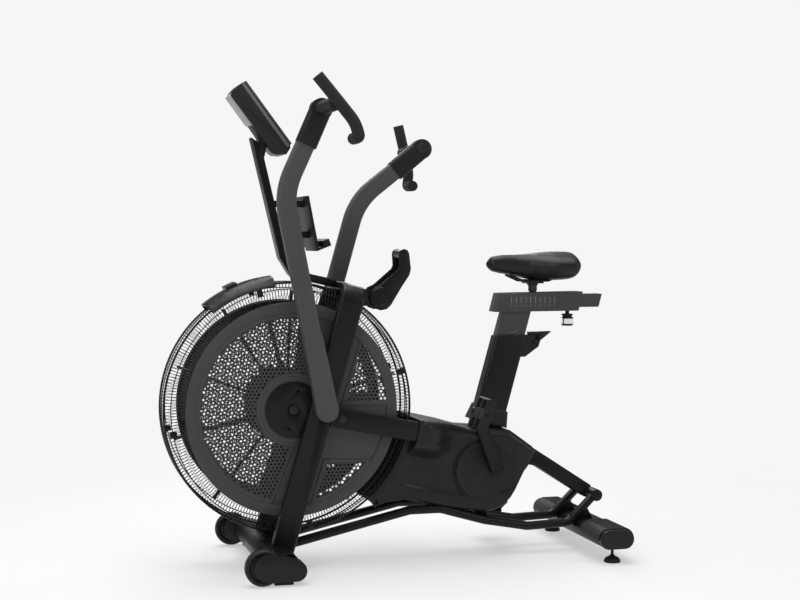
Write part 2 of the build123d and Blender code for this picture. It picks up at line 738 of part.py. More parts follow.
# ---------------------------------------------------------------- seat
def seat_post():
    """Inner post with the slotted carriage that the saddle slides in."""
    with BuildPart() as post:
        with BuildSketch(seat_plane(20)):
            Rectangle(POST_WIDE, POST_THICK)
            Rectangle(POST_WIDE - 6, POST_THICK - 6, mode=Mode.SUBTRACT)
        extrude(amount=300)
        with BuildSketch(side(0)):
            outline([(604, 694), (618, 748), (873, 751), (860, 695)])
        extrude(amount=30, both=True)
        with BuildSketch(side(0)):
            outline([(610, 702), (619, 742), (900, 745), (900, 703)])
        extrude(amount=26, both=True, mode=Mode.SUBTRACT)
        with Locations(spot(740, 748, 0)):
            Box(230, 26, 20, mode=Mode.SUBTRACT)
        # hole for the locking knob
        with Locations(spot(836, 698, 0)):
            Cylinder(6 + RUN, 30, mode=Mode.SUBTRACT)
    write(post, "seat_post")


def seat_slider():
    with BuildPart() as slider:
        with BuildSketch(side(0)):
            outline([(648, 704.5), (648, 740.5), (934, 743.5), (924, 705.5)])
        extrude(amount=25.4, both=True)
        with BuildSketch(side(0)):
            outline([(652, 708), (652, 737), (928, 740), (921, 709)])
        extrude(amount=21.4, both=True, mode=Mode.SUBTRACT)
        with Locations(spot(660, 716, 0)):
            Box(60, 42, 12, mode=Mode.SUBTRACT)
        with Locations(spot(728, 756, 0)):
            Box(16, 16, 32)
        with Locations(spot(728, 768, 0)):
            Cylinder(12.7, 30)
    write(slider, "seat_slider")


def saddle():
    with BuildPart() as clamp:
        with Locations(spot(728, 781, 0)):
            Box(52, 46, 12)
        with Locations(spot(728, 778, 0)):
            Cylinder(16, 16)
        with Locations(spot(728, 768, 0)):
            Cylinder(12.7, 40, mode=Mode.SUBTRACT)
        for s in (-1, 1):
            with BuildLine(side(s * 22)) as path:
                FilletPolyline((652, 800), (690, 783), (770, 783), (812, 806), radius=22)
            with BuildSketch(Plane(origin=path.line @ 0, z_dir=path.line % 0)):
                Circle(3.5)
            sweep(path=path.line)
    write(clamp, "saddle_clamp")
    stations = ((584, 8, 824, 24), (612, 17, 828, 60), (660, 24, 832, 78), (715, 45, 835, 78),
                (770, 85, 836, 72), (815, 106, 838, 66), (848, 96, 840, 50), (861, 60, 838, 26))
    with BuildPart() as pad:
        for u, half, z, tall in stations:
            with BuildSketch(Plane(origin=spot(u, z), x_dir=(0, 1, 0), z_dir=(1, 0, 0))):
                Ellipse(half, tall / 2)
        loft()
        # the rails' ends sit in the pad's base
        with Locations(spot(732, 792, 0)):
            Box(190, 60, 40, mode=Mode.SUBTRACT)
    write(pad, "saddle")


def seat_controls():
    with BuildPart() as knob:
        with Locations(spot(836, 664, 0)):
            Cylinder(19, 26)
            Cylinder(14, 38)
        fillet(knob.edges().filter_by(GeomType.CIRCLE).group_by(SortBy.RADIUS)[-1], 3)
        with Locations(spot(836, 687, 0)):
            Cylinder(6, 33)
    write(knob, "slider_knob")
    with BuildPart() as lever:
        with BuildSketch(side(0)):
            with Locations((732, 606)):
                Circle(10)
            outline([(722, 606), (714, 634), (783, 635), (741, 603)])
        extrude(amount=10.6, both=True)
        with BuildSketch(side(0)):
            with Locations((732, 606)):
                Circle(5)
        extrude(amount=20.5, both=True)
        with BuildSketch(seat_plane(TUBE_TOP)):
            Rectangle(TUBE_WIDE + 1, TUBE_THICK + 1)
        extrude(amount=-40, mode=Mode.SUBTRACT)
    write(lever, "height_lever")


# ---------------------------------------------------------------- fairing
FAIR_Y = 80.0


def fairing_outline(inset):
    """The fairing's side profile; its front follows the guard."""
    reach = CAGE_R + RING_WIRE_R + 4.5
    start = along((0, FAN_Z), -6, reach)
    middle = along((0, FAN_Z), -28, reach)
    end = along((0, FAN_Z), -50, reach)
    with BuildLine() as edge:
        ThreePointArc(start, middle, end)
        Polyline(end, (242, 165), (262, 172), (320, 176), (382, 160), (453, 143), (557, 127))
        ThreePointArc((557, 127), (612, 143), (652, 184))
        Polyline((652, 184), (680, 238), (693, 254), (714, 294), (705, 308), (638, 357), (504, 369),
                 (452, 384), start)
    make_face(edge.edges())
    if inset:
        offset(amount=-inset, kind=Kind.INTERSECTION, mode=Mode.REPLACE)


def flare(inset):
    """Side profiles of the flare that takes the side beam in: at the fairing's side, and at its mouth."""
    root = [(352 + inset, 403 - inset), (430, 386 - inset), (412, 322 + inset), (335 + inset, 330 + inset)]
    mouth = [(322 + inset, 410 - inset), (364, 402 - inset), (358, 336 + inset), (312 + inset, 342 + inset)]
    return root, mouth


def fairing(s, word):
    with BuildPart() as shell:
        with BuildSketch(side(0)):
            fairing_outline(0)
        extrude(amount=-s * FAIR_Y)
        root, mouth = flare(0)
        for points, y in ((root, FAIR_Y - 3), (mouth, 143)):
            with BuildSketch(side(s * y)):
                outline(points)
        loft()
        with BuildSketch(side(0)):
            fairing_outline(WALL)
        extrude(amount=-s * (FAIR_Y - WALL), mode=Mode.SUBTRACT)
        root, mouth = flare(WALL)
        for points, y in ((root, FAIR_Y - 12), (mouth, 140)):
            with BuildSketch(side(s * y)):
                outline(points)
        loft(mode=Mode.SUBTRACT)
        # front mouth for the side beam
        with BuildSketch(side(s * LEG_Y)):
            outline([(290, beam_line(290, 28)), (CROSS_U, beam_line(CROSS_U, 28)),
                     (CROSS_U, beam_line(CROSS_U, -28)), (290, beam_line(290, -28))])
        extrude(amount=11.5, both=True, mode=Mode.SUBTRACT)
        # holes for the crank axle, the seat tube, the fan belt and the rear beam
        with BuildSketch(side(s * FAIR_Y)):
            with Locations(CRANK):
                Circle(16)
        extrude(amount=20, both=True, mode=Mode.SUBTRACT)
        with BuildSketch(seat_plane(-95)):
            Rectangle(TUBE_WIDE + 2, TUBE_THICK + 2)
        extrude(amount=200, mode=Mode.SUBTRACT)
        with BuildSketch(side(0)):
            outline([(280, 246), (372, 240), (372, 392), (280, 392)])
        extrude(amount=76, both=True, mode=Mode.SUBTRACT)
        with BuildSketch(side(0)):
            outline([(655, 280), (668, 248), (760, 200), (760, 300), (690, 338)])
        extrude(amount=BEARING_Y - BEARING_T / 2 + 1, both=True, mode=Mode.SUBTRACT)
        # room for the rails and their saddles underneath
        with BuildLine(side(s * RAIL_Y)) as path:
            FilletPolyline(*RAIL_ROUTE[1:7], radius=RAIL_BEND)
        with BuildSketch(Plane(origin=path.line @ 0, z_dir=path.line % 0)):
            Circle(RAIL_R + 1)
        sweep(path=path.line, mode=Mode.SUBTRACT)
        with Locations(spot(429, 160), spot(559, 130)):
            Box(42, 2 * (BEARING_Y + BEARING_T / 2 + 1), 60, mode=Mode.SUBTRACT)
    solids = shell.part.solids().sort_by(SortBy.VOLUME)
    body = solids[-1]
    body.label = f"fairing_{word}"
    export_step(body, f"parts/fairing_{word}.step")
    return body


def fairing_trim():
    """Top cap over the split, boot round the seat tube and the two round crank covers."""
    with BuildPart() as covers:
        for s in (-1, 1):
            with BuildSketch(side(s * (FAIR_Y + 3))):
                with Locations((549, 247)):
                    Circle(79)
                with Locations(CRANK):
                    Circle(13, mode=Mode.SUBTRACT)
            extrude(amount=3, both=True)
        fillet(covers.edges().filter_by(lambda e: abs(e.center().Y) > FAIR_Y + 5), 1.5)
    write(covers, "crank_covers")
    with BuildPart() as boot:
        with BuildSketch(seat_plane(-44)):
            RectangleRounded(TUBE_WIDE + 26, TUBE_THICK + 16, 12)
        with BuildSketch(seat_plane(2)):
            RectangleRounded(TUBE_WIDE + 8, TUBE_THICK + 8, 9)
        loft()
        with BuildSketch(seat_plane(-60)):
            RectangleRounded(TUBE_WIDE, TUBE_THICK, 8)
        extrude(amount=200, mode=Mode.SUBTRACT)
        with BuildSketch(side(0)):
            fairing_outline(0)
        extrude(amount=FAIR_Y, both=True, mode=Mode.SUBTRACT)
    write(boot, "seat_boot")


# ---------------------------------------------------------------- mast, tray, console
def mast():
    """Console mast: a bent flat tube from the fork's top, with the console's welded bracket."""
    with BuildPart() as post:
        with BuildLine(side(0)) as path:
            FilletPolyline(MAST_TOP, (-10, 855), (20, 806), (148, 777), radius=26)
        with BuildSketch(Plane(origin=path.line @ 0, x_dir=(0, 1, 0), z_dir=path.line % 0)):
            RectangleRounded(50, 22, 4)
            RectangleRounded(45, 17, 2, mode=Mode.SUBTRACT)
        sweep(path=path.line)
        # cut square where it meets the fork's cross beam
        with BuildSketch(side(0)):
            outline([(127.4, 742), (147.3, 811), (260, 800), (260, 720)])
        extrude(amount=40, both=True, mode=Mode.SUBTRACT)
        # the top is cut back, so that the console can tilt over it
        with BuildSketch(side(0)):
            outline([(-101, 1183), (-72, 1162), (-60, 1200), (-95, 1200)])
        extrude(amount=40, both=True, mode=Mode.SUBTRACT)
        # hinge eye and pin of the console
        with BuildSketch(side(0)):
            with Locations(CONSOLE_HINGE):
                Circle(11)
            outline([(-72, 1174), (-52, 1176), (-62, 1128), (-74, 1130)])
        extrude(amount=26.6, both=True)
        round_piece(CONSOLE_HINGE, 4, 0, 0, 34)
    write(post, "mast")


def mast_front(z):
    """The mast's rear face at a height, side view."""
    return -87.0 + (1183.0 - z) * 0.2348 + 11.4


def device_tray():
    """Bent sheet behind the mast: a back plate with a ledge and a lip, on two spacer blocks."""
    with BuildPart() as tray:
        with BuildSketch(side(0)):
            outline([(47, 1020), (51, 1020), (78.5, 877.5), (94, 883.5), (89.5, 897), (106.5, 903),
                     (113, 886), (75, 871), (73, 874)])
        extrude(amount=76, both=True)
        for z in (1000.0, 915.0):
            with BuildSketch(side(0)):
                front = mast_front(z)
                back = 49 + (1020 - z) * 0.185
                outline([(front, z + 8), (back, z + 8), (back + 4, z - 8), (front + 3.8, z - 8)])
            extrude(amount=18, both=True)
    write(tray, "device_tray")


BUTTON_Y = (-30.0, 30.0)


def button_plane(y, height):
    """A plane parallel to the console's screen, this far above it, at one of the buttons."""
    lean = radians(CONSOLE_LEAN)
    return Plane(origin=spot(-20, 1189.5, y), x_dir=(0, 1, 0), z_dir=(sin(lean), 0, -cos(lean))).offset(height)


def console():
    with BuildPart() as body:
        with BuildSketch(side(0)):
            outline([(-158, 1297), (-124, 1329), (2, 1160), (-8, 1134), (-34, 1136), (-76, 1190)])
        extrude(amount=88, both=True)
        fillet(body.edges().filter_by(Axis.Y), 7)
        fillet(body.edges().filter_by(lambda e: abs(abs(e.center().Y) - 88) < 0.1), 5)
        # pocket for the mast's hinge eye, between two lugs
        with BuildSketch(side(0)):
            with Locations(CONSOLE_HINGE):
                Circle(14)
            outline([(-76, 1176), (-50, 1170), (-40, 1130), (-90, 1130)])
        extrude(amount=35, both=True, mode=Mode.SUBTRACT)
        for y in (-31, 31):
            with BuildSketch(side(y)):
                with Locations(CONSOLE_HINGE):
                    Circle(11)
                outline([(-73, 1176), (-51, 1176), (-36, 1192), (-76, 1196)])
                with Locations(CONSOLE_HINGE):
                    Circle(4 + RUN, mode=Mode.SUBTRACT)
            extrude(amount=4, both=True)
        # pockets for the two push buttons under the screen
        for y in BUTTON_Y:
            with BuildSketch(button_plane(y, -13)):
                RectangleRounded(35, 13, 4.5)
            extrude(amount=30, mode=Mode.SUBTRACT)
    write(body, "console_body")
    for y, word in zip(BUTTON_Y, ("start", "stop")):
        with BuildPart() as button:
            with BuildSketch(button_plane(y, -8)):
                RectangleRounded(34, 12, 4)
            extrude(amount=10)
        write(button, f"console_button_{word}")


def top_handle():
    """Tilting channel-shaped handle behind the fork's top, on the clevis's pin."""
    with BuildPart() as grab:
        with BuildSketch(side(0)):
            with Locations(HANDLE_HUB):
                Circle(33)
            outline([(240, 760), (304, 812), (290, 860), (334, 862), (345, 812), (292, 722)])
        extrude(amount=42, both=True)
        with BuildSketch(side(0)):
            outline([(212, 690), (212, 790), (262, 786), (296, 820), (282, 870), (326, 872),
                     (334, 816), (290, 752), (298, 690)])
        extrude(amount=37, both=True, mode=Mode.SUBTRACT)
        with BuildSketch(side(0)):
            with Locations(HANDLE_HUB):
                Circle(9 + RUN)
        extrude(amount=50, both=True, mode=Mode.SUBTRACT)
    write(grab, "top_handle")


def frame_bolts():
    """Hub bolts, beam bolts and arm end caps, as one group of separate fasteners."""
    with BuildPart() as bolts:
        for s in (-1, 1):
            round_piece((0, FAN_Z), 12, 0, s * 114.5, 2.9)
            round_piece((0, FAN_Z), 5, 0, s * 96, 16)
            round_piece((130, beam_line(130, 0)), 11, 0, s * (LEG_Y + 13), 2)
    write(bolts, "frame_bolts")


fork_frame()
side_beams()
bearing_frame()
seat_tube()
rear_beam(base_rails())
stabilizer_tube(FRONT_STAB, FRONT_HALF, "front_stabilizer")
stabilizer_tube(REAR_STAB, REAR_HALF, "rear_stabilizer")
front_covers()
rear_caps()
step_pads()
for side_sign, side_word in ((-1, "left"), (1, "right")):
    transport_wheel(side_sign, f"transport_wheel_{side_word}")
    levelling_foot(side_sign, f"levelling_foot_{side_word}")
    guard_plate(side_sign, f"guard_plate_{side_word}")
    wire_guard(side_sign, f"wire_guard_{side_word}")
    crank_arm(side_sign, f"crank_arm_{side_word}")
    pedal(side_sign, 68 if side_sign < 0 else 41, f"pedal_{side_word}")
    arm_set(side_sign, side_word)
    fairing(side_sign, side_word)
hub_brackets()
fan_axle()
rim_shield()
fan_wheel()
fan_drive()
drive_belts()
crank_drive()
seat_post()
seat_slider()
saddle()
seat_controls()
fairing_trim()
mast()
device_tray()
console()
top_handle()
frame_bolts()
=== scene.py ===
"""Air bike: the looks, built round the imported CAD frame."""
import json
import math

import bpy
from mathutils import Matrix, Vector


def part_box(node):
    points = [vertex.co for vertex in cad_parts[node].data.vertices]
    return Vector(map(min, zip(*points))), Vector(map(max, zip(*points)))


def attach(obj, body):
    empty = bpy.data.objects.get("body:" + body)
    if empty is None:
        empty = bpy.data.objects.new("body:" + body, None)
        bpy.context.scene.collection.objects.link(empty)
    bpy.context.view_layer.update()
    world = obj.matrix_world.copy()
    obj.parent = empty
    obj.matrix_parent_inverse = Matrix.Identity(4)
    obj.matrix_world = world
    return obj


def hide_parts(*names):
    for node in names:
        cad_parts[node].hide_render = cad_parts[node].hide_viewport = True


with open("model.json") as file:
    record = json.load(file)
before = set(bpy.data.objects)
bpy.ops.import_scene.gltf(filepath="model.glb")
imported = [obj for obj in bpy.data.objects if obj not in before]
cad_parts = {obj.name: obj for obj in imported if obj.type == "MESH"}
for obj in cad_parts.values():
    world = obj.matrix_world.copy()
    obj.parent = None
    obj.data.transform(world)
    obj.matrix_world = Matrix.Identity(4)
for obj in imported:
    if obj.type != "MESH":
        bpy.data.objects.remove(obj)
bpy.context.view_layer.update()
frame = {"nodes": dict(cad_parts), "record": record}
bpy.ops.object.select_all(action="DESELECT")

# ---- Camera, floor and lights
# A 66 mm lens stands 4 m off the bike's left side, at chest height, turned a little to the rear. The
# floor is pale and seamless, and big soft lamps hang over and beside it.
hub_low, hub_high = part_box("fan_axle")
AXLE = (Vector(hub_low) + Vector(hub_high)) / 2


def at(rear, y, up):
    """A point given in millimetres behind the fan's axle, to the rider's right, and above the floor."""
    return Vector((AXLE.x + rear / 1000, y / 1000, up / 1000))


bpy.ops.object.camera_add(location=at(-755.4, -4017.1, 896.9),
                          rotation=(math.radians(90 - 2.29), 0, math.radians(-15.11)))
camera = bpy.context.object
camera.data.sensor_width = 36
camera.data.lens = 66.1
bpy.context.scene.camera = camera

bpy.context.scene.view_settings.view_transform = "Standard"
world = bpy.data.worlds.new("studio")
bpy.context.scene.world = world
world.use_nodes = True
sky = world.node_tree
rays = sky.nodes.new("ShaderNodeLightPath")
shown = sky.nodes.new("ShaderNodeBackground")
shown.inputs["Color"].default_value = (0.92, 0.92, 0.92, 1)
lit = sky.nodes["Background"]
lit.inputs["Color"].default_value = (0.9, 0.93, 1, 1)
lit.inputs["Strength"].default_value = 0.30
either = sky.nodes.new("ShaderNodeMixShader")
sky.links.new(rays.outputs["Is Camera Ray"], either.inputs["Fac"])
sky.links.new(lit.outputs[0], either.inputs[1])
sky.links.new(shown.outputs[0], either.inputs[2])
sky.links.new(either.outputs[0], sky.nodes["World Output"].inputs["Surface"])


def softbox(place, aim, size, power):
    """A square area lamp that faces a point."""
    turn = (aim - place).to_track_quat("-Z", "Y").to_euler()
    bpy.ops.object.light_add(type="AREA", location=place, rotation=turn)
    lamp = bpy.context.object.data
    lamp.size, lamp.energy = size, power


softbox(Vector((-0.4, 0.2, 3.6)), Vector((0, 0, 0.3)), 3.4, 165)
softbox(Vector((-2.6, -2.4, 2.2)), Vector((0, 0, 0.7)), 1.1, 34)
softbox(Vector((2.4, -2.0, 1.9)), Vector((0.2, 0, 0.6)), 0.9, 20)
softbox(Vector((0.6, 2.8, 2.4)), Vector((0, 0, 0.7)), 1.4, 36)


class Value:
    """A node's output, which can be used in sums."""

    def __init__(self, finish, socket):
        self.finish, self.socket = finish, socket

    def sum(self, operation, *values):
        return self.finish.node("ShaderNodeMath", {"operation": operation}, dict(enumerate(values)))

    def __add__(self, other):
        return self.sum("ADD", self, other)

    def __radd__(self, other):
        return self.sum("ADD", other, self)

    def __mul__(self, other):
        return self.sum("MULTIPLY", self, other)

    def __rmul__(self, other):
        return self.sum("MULTIPLY", other, self)


class Finish:
    """A material with its Principled shader, and one way to add any other node."""

    def __init__(self, name, **constants):
        self.material = bpy.data.materials.new(name)
        self.material.use_nodes = True
        self.tree = self.material.node_tree
        self.shader = self.tree.nodes["Principled BSDF"]
        for socket, value in constants.items():
            self.shader.inputs[socket.replace("_", " ")].default_value = value

    def node(self, kind, settings, inputs, out=0):
        node = self.tree.nodes.new(kind)
        for name, value in settings.items():
            setattr(node, name, value)
        for key, value in inputs.items():
            self.put(node.inputs[key], value)
        return Value(self, node.outputs[out])

    def put(self, socket, value):
        if isinstance(value, Value):
            self.tree.links.new(value.socket, socket)
        else:
            socket.default_value = value

    def noise(self, scale, detail=3.0, stretch=(1, 1, 1)):
        place = self.node("ShaderNodeTexCoord", {}, {}, "Object")
        place = self.node("ShaderNodeMapping", {}, {"Vector": place, "Scale": stretch})
        return self.node("ShaderNodeTexNoise", {}, {"Vector": place, "Scale": scale, "Detail": detail}, "Fac")

    def vary(self, low, high, amount, rough, rough_change):
        """Mixes two colours and shifts the roughness by a mask from 0 to 1."""
        self.put(self.shader.inputs["Base Color"], self.node(
            "ShaderNodeMix", {"data_type": "RGBA"}, {"Factor": amount, 6: (*low, 1), 7: (*high, 1)}, 2))
        self.put(self.shader.inputs["Roughness"], rough + rough_change * amount)

    def stage_fade(self, start, end):
        """A mask from 0 near the middle of the floor to 1 far from it."""
        place = self.node("ShaderNodeTexCoord", {}, {}, "Object")
        away = self.node("ShaderNodeVectorMath", {"operation": "LENGTH"}, {0: place}, "Value")
        return self.node("ShaderNodeMapRange", {"interpolation_type": "SMOOTHSTEP"},
                         {"Value": away, "From Min": start, "From Max": end}, "Result")

    def bump(self, height, strength, depth):
        self.put(self.shader.inputs["Normal"], self.node(
            "ShaderNodeBump", {}, {"Height": height, "Strength": strength, "Distance": depth}))


bpy.ops.mesh.primitive_plane_add(size=60)
floor = bpy.context.object
floor.name = "studio_floor"
paper = Finish("white_paper", Base_Color=(0.70, 0.70, 0.70, 1), Roughness=0.9, Specular_IOR_Level=0.1)
glow = paper.node("ShaderNodeEmission", {}, {"Color": (0.92, 0.92, 0.92, 1)})
seamless = paper.node("ShaderNodeMixShader", {}, {
    "Fac": paper.stage_fade(0.7, 2.4) * 0.5 + 0.5, 1: Value(paper, paper.shader.outputs[0]), 2: glow})
paper.tree.links.new(seamless.socket, paper.tree.nodes["Material Output"].inputs["Surface"])
floor.data.materials.append(paper.material)


# ---- Frame, arms and every other part whose own shape is right
# Cut tube, bent plate and simple mouldings: each keeps its CAD shape, with the sharp edges broken by a
# millimetre or two. Nearly every part is black: powder-coated steel, moulded plastic or rubber, which
# differ in how dark, how rough and how grained they are.
def coated_metal(name, dark, light, rough, peel=0.25):
    """Powder coat: slow changes of shade, faint handling smears and a fine orange peel."""
    finish = Finish(name, Metallic=0.0, IOR=1.5, Specular_IOR_Level=0.22)
    smears = finish.noise(9, 5, (1, 1, 0.35))
    finish.vary(dark, light, smears, rough, 0.12)
    finish.bump(finish.noise(1400, 2) * 0.7 + finish.noise(420, 2) * 0.3, peel, 0.0004)
    return finish.material


def moulding(name, dark, light, rough, grain=0.35, scale=900):
    """Moulded plastic or rubber with a spark-eroded grain."""
    finish = Finish(name, IOR=1.46, Specular_IOR_Level=0.28)
    finish.vary(dark, light, finish.noise(14, 4), rough, 0.14)
    cells = finish.node("ShaderNodeTexVoronoi", {}, {
        "Vector": finish.node("ShaderNodeTexCoord", {}, {}, "Object"), "Scale": scale}, "Distance")
    finish.bump(cells * 0.6 + finish.noise(scale * 0.5, 3) * 0.4, grain, 0.0003)
    return finish.material


def bright_metal(name, colour, rough, stretch):
    """Turned or plated steel, brushed along one direction."""
    finish = Finish(name, Metallic=1.0, Base_Color=(*colour, 1))
    lines = finish.noise(180, 4, stretch)
    finish.put(finish.shader.inputs["Roughness"], rough + 0.14 * lines)
    finish.bump(lines, 0.12, 0.0002)
    return finish.material


FRAME_COAT = coated_metal("satin_black_coat", (0.0035, 0.0035, 0.0038), (0.0065, 0.0065, 0.007), 0.30)
ARM_COAT = coated_metal("charcoal_coat", (0.050, 0.050, 0.051), (0.064, 0.064, 0.065), 0.40)
SEAT_COAT = coated_metal("dark_grey_coat", (0.038, 0.038, 0.039), (0.050, 0.050, 0.051), 0.46)
SLEEVE_COAT = coated_metal("sleeve_coat", (0.006, 0.006, 0.0065), (0.010, 0.010, 0.0105), 0.46, 0.4)
HOUSING = moulding("housing_plastic", (0.007, 0.007, 0.0075), (0.012, 0.012, 0.0125), 0.3, 0.12)
TRIM = moulding("trim_plastic", (0.006, 0.006, 0.006), (0.012, 0.012, 0.012), 0.45)
RUBBER = moulding("black_rubber", (0.007, 0.007, 0.007), (0.014, 0.014, 0.014), 0.62, 0.5, 600)
SCREW = coated_metal("black_oxide", (0.010, 0.010, 0.0105), (0.024, 0.024, 0.0245), 0.28, 0.1)
TURNED = bright_metal("turned_steel", (0.42, 0.42, 0.43), 0.3, (1, 12, 1))
BODY_OF = {node: body for body, nodes in frame["record"]["behaviour"]["bodies"].items() for node in nodes}


def select_only(piece):
    """Makes a piece the active and only selected object."""
    bpy.ops.object.select_all(action="DESELECT")
    piece.select_set(True)
    bpy.context.view_layer.objects.active = piece


def modify(piece, kind, **settings):
    """Adds a modifier and applies it."""
    select_only(piece)
    modifier = piece.modifiers.new(kind.title(), kind)
    for name, value in settings.items():
        setattr(modifier, name, value)
    bpy.ops.object.modifier_apply(modifier=modifier.name)


def place(piece, name, material, body, slot=None, replaces=()):
    """Names a finished piece, gives it its material and hangs it on its body."""
    piece.name = name
    piece.data.materials.clear()
    piece.data.materials.append(material)
    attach(piece, body)
    if replaces:
        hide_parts(*replaces)
    return piece


def broken_edges(node, material, width=0.0012, segments=2, angle=38, reshape=None):
    """The node's shape again, with its sharp edges rounded."""
    source = frame["nodes"][node]
    piece = bpy.data.objects.new(node + "_finished", source.data.copy())
    bpy.context.collection.objects.link(piece)
    select_only(piece)
    for vertex in piece.data.vertices:
        if reshape:
            vertex.co = reshape(vertex.co.copy())
    bpy.ops.object.mode_set(mode="EDIT")
    bpy.ops.mesh.select_all(action="SELECT")
    bpy.ops.mesh.remove_doubles(threshold=0.00002)
    bpy.ops.mesh.dissolve_limited(angle_limit=math.radians(1))
    bpy.ops.object.mode_set(mode="OBJECT")
    modify(piece, "BEVEL", width=width, segments=segments, limit_method="ANGLE",
           angle_limit=math.radians(angle), use_clamp_overlap=True)
    bpy.ops.object.shade_smooth_by_angle(angle=math.radians(angle))
    return place(piece, node + "_finished", material, BODY_OF[node], replaces=(node,))


PLAIN_PARTS = {
    FRAME_COAT: ("fork_frame", "side_beams", "base_rails", "rear_beam", "front_stabilizer",
                 "rear_stabilizer", "mast", "bearing_frame", "crank_arm_left",
                 "crank_arm_right", "hub_brackets", "saddle_clamp", "crank_axle"),
    ARM_COAT: ("arm_left", "arm_right"),
    SEAT_COAT: ("seat_post", "seat_slider"),
    SLEEVE_COAT: ("handle_left", "handle_right"),
    HOUSING: ("front_stabilizer_covers", "rear_stabilizer_caps", "seat_boot", "rim_shield"),
    TRIM: ("height_lever", "fan_wheel", "fan_pulley", "crank_pulley", "pedal_left", "pedal_right",
           "console_button_start", "console_button_stop"),
    RUBBER: ("drive_belts",),
    TURNED: ("fan_axle", "jackshaft", "arm_axle_left", "arm_axle_right", "push_rod_left",
             "push_rod_right", "fan_bearings"),
    SCREW: ("frame_bolts",),
}
for material, nodes in PLAIN_PARTS.items():
    for node in nodes:
        broken_edges(node, material)

LEAN = math.radians(15.5)
MOUTH = 0.6255  # the seat tube's top, above the floor
UPWARD = Vector((math.sin(LEAN), 0, math.cos(LEAN)))


def level_top(point):
    """The seat tube's mouth is cut level with the floor, not square across the tube."""
    height = (point - at(597.5, 0, 416.5)).dot(UPWARD)
    if height > 0.2155 and abs(point.y) < 0.027:
        return point + UPWARD * ((MOUTH - point.z) / UPWARD.z)
    return point


broken_edges("seat_tube", FRAME_COAT, reshape=level_top)


# ---- Wire guards
# Each half of the cage has places for 240 bent wires, welded to four rings: they start at the side plate's
# rim, lean out to the big ring and turn over the edge to the seam ring in the middle.
WIRE_COAT = coated_metal("wire_coat", (0.004, 0.004, 0.004), (0.008, 0.008, 0.008), 0.34, 0.05)
WIRES = 240
BELT_GAP = 14  # wires left out on the right, inside the housing, where the belt goes in to the fan


def tube(points, radius, sides=1):
    """A round wire or bar along a line of points, as a mesh."""
    data = bpy.data.curves.new("wire", "CURVE")
    data.dimensions = "3D"
    data.bevel_depth, data.bevel_resolution = radius, sides
    data.use_fill_caps = True
    data.resolution_u = 4
    spline = data.splines.new("NURBS")
    spline.points.add(len(points) - 1)
    for point, target in zip(spline.points, points):
        point.co = (*target, 1)
    spline.order_u = 3
    spline.use_endpoint_u = True
    piece = bpy.data.objects.new("wire", data)
    bpy.context.collection.objects.link(piece)
    select_only(piece)
    bpy.ops.object.convert(target="MESH")
    return bpy.context.object


def repeat_round(piece, count, gap=0):
    """Copies a mesh's shape round the fan's axle, evenly, but for a gap of a few copies at the end."""
    select_only(piece)
    bpy.ops.object.mode_set(mode="EDIT")
    bpy.ops.mesh.select_all(action="SELECT")
    bpy.ops.mesh.spin(steps=count - 1 - gap, dupli=True, angle=2 * math.pi * (count - 1 - gap) / count,
                      center=AXLE, axis=(0, 1, 0))
    bpy.ops.object.mode_set(mode="OBJECT")


def ring(radius, y, wire):
    """A wire ring round the fan's axle."""
    bpy.ops.mesh.primitive_torus_add(location=(AXLE.x, y, AXLE.z), rotation=(math.pi / 2, 0, 0),
                                     major_radius=radius, minor_radius=wire,
                                     major_segments=144, minor_segments=8)
    return bpy.context.object


def joined(pieces):
    """Several meshes as one, with its place in its mesh."""
    bpy.ops.object.select_all(action="DESELECT")
    for piece in pieces:
        piece.select_set(True)
    bpy.context.view_layer.objects.active = pieces[0]
    bpy.ops.object.join()
    bpy.ops.object.transform_apply()
    return bpy.context.object


FIRST = math.radians(-31)  # where the first wire stands, just past the belt
for side, word in ((-1, "left"), (1, "right")):
    profile = ((0.290, 0.1035), (0.302, 0.0985), (0.324, 0.083), (0.341, 0.062), (0.3465, 0.046),
               (0.3465, 0.020), (0.3465, 0.0))
    wire = tube([AXLE + Vector((r * math.cos(FIRST), side * y, r * math.sin(FIRST))) for r, y in profile],
                0.00085)
    repeat_round(wire, WIRES, BELT_GAP if side > 0 else 0)
    guard = joined([wire, ring(0.3435, side * 0.050, 0.0030), ring(0.327, side * 0.0775, 0.0014),
                    ring(0.344, side * 0.0022, 0.0013), ring(0.291, side * 0.0995, 0.0022)])
    bpy.ops.object.shade_smooth()
    place(guard, f"wire_cage_{word}", WIRE_COAT, "frame", "guard_black", (f"wire_guard_{word}",))


# ---- Side plates
# Pressed sheet, 2 mm thick, with a rolled rim and a raised ring round the hub. Three windows follow
# the fork leg and the side beam, and each is backed by hexagonally perforated sheet.
PLATE_COAT = coated_metal("guard_plate_coat", (0.044, 0.044, 0.045), (0.056, 0.056, 0.057), 0.40)


def arc(radius, start, end, steps):
    """Points on a circle round the axle, from one angle to another."""
    angles = [math.radians(start + (end - start) * k / steps) for k in range(steps + 1)]
    return [(radius * math.cos(a), radius * math.sin(a)) for a in angles]


